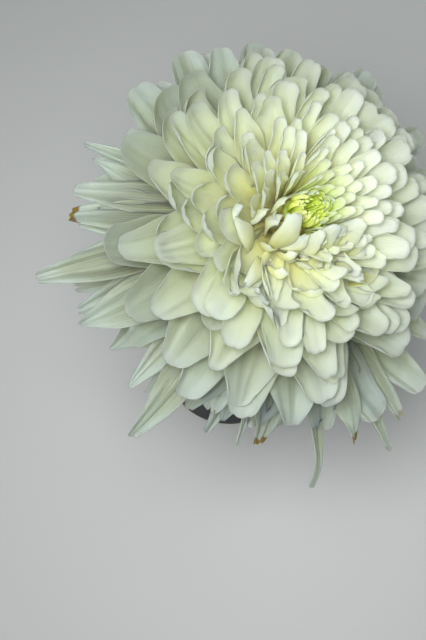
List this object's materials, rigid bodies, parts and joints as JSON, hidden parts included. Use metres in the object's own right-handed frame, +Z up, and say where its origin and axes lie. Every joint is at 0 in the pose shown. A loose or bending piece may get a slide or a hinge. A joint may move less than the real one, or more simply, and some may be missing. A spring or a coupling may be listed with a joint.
{
  "type": "dahlia in vase",
  "caption": "Large white double flower with a green eye on its cut stem, leaning in a plain stoneware vase of water.",
  "frame": {"origin": "centre of the vase's flat foot, on the surface it stands on", "axes": "+Z up; the stem leans over the vase's mouth towards -Y, and the flower faces up, towards -Y and a little towards +X"},
  "size_m": [0.1183, 0.1444, 0.2276],
  "materials": {
    "petal": "soft white petal, cream to yellow towards its base",
    "eye": "yellow-green unopened florets",
    "green": "satin green plant skin",
    "stoneware": "matt charcoal stoneware",
    "water": "clear water"
  },
  "bodies": {
    "root": {"bloom": "petal", "green_eye": "eye", "stem": "green", "vase": "stoneware", "water": "water"}
  },
  "joints": []
}
